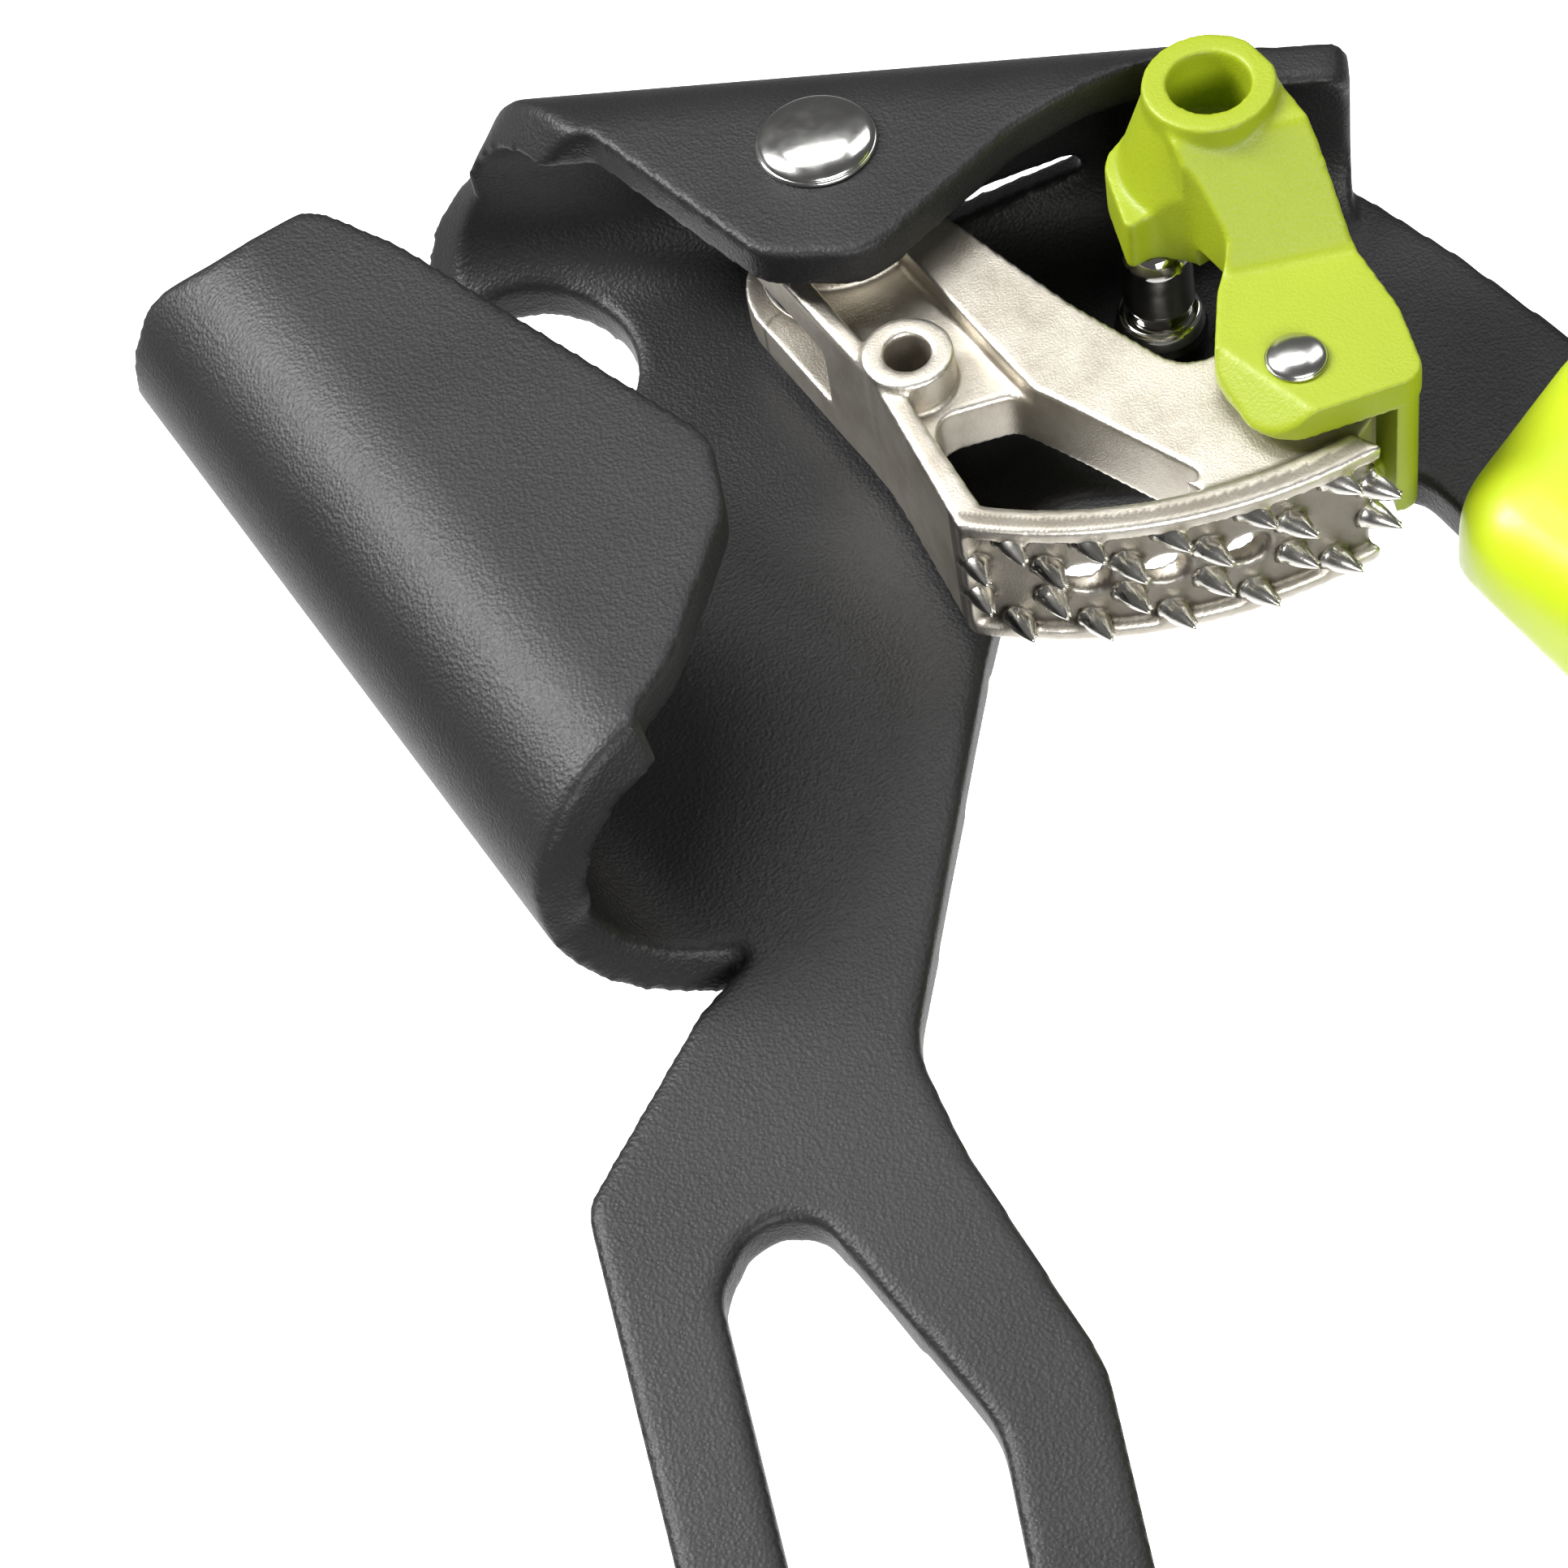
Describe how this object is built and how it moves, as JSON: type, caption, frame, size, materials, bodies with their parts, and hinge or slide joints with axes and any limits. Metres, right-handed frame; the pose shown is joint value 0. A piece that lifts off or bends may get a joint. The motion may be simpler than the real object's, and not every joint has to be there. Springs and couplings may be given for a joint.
{
  "type": "handled rope ascender",
  "caption": "Handled rope ascender: black folded frame with a rope channel, toothed cam held open by a lime trigger, and a lime grip.",
  "frame": {"origin": "centre of the carabiner hole, on the frame's rear face", "axes": "+Y up along the rope channel, +Z out of the front face where the cam and trigger show, +X from the rope channel towards the grip"},
  "size_m": [0.1091, 0.1922, 0.0294],
  "materials": {
    "frame_black": "black anodised, fine pebbled satin",
    "cam_steel": "investment cast, satin grey",
    "bright_steel": "polished",
    "spring_steel": "bright drawn wire",
    "trigger_lime": "moulded, fine matt grain",
    "grip_lime": "moulded, soft sheen",
    "bush_bronze": "sintered, plain",
    "black_steel": "black oxide"
  },
  "bodies": {
    "frame": {"frame_plate": "frame_black", "cam_axle": "bright_steel", "axle_clinch_washer": "bright_steel", "cam_bush": "bush_bronze", "cam_washer_rear": "bright_steel", "cam_washer_front": "bright_steel", "cam_return_spring": "spring_steel", "latch_pin": "bright_steel", "latch_pin_collar": "bright_steel", "latch_pin_spacer": "black_steel", "grip_front_shell": "grip_lime", "grip_rear_shell": "grip_lime", "grip_screws": "black_steel", "grip_nuts": "black_steel"},
    "cam": {"cam": "cam_steel", "trigger_rivet": "bright_steel", "trigger_spring": "spring_steel"},
    "trigger": {"trigger": "trigger_lime", "trigger_washer": "bright_steel"}
  },
  "joints": [
    {"name": "cam_pivot", "type": "hinge", "parent": "frame", "child": "cam", "pos_m": [0.025, 0.15, 0.0101], "axis": [0, 0, -1], "range_deg": [0, 58]},
    {"name": "trigger_pivot", "type": "hinge", "parent": "cam", "child": "trigger", "pos_m": [0.0385, 0.1176, 0.0172], "axis": [0, 0, -1], "range_deg": [0, 20], "stiffness_Nm_per_rad": 0.02}
  ]
}
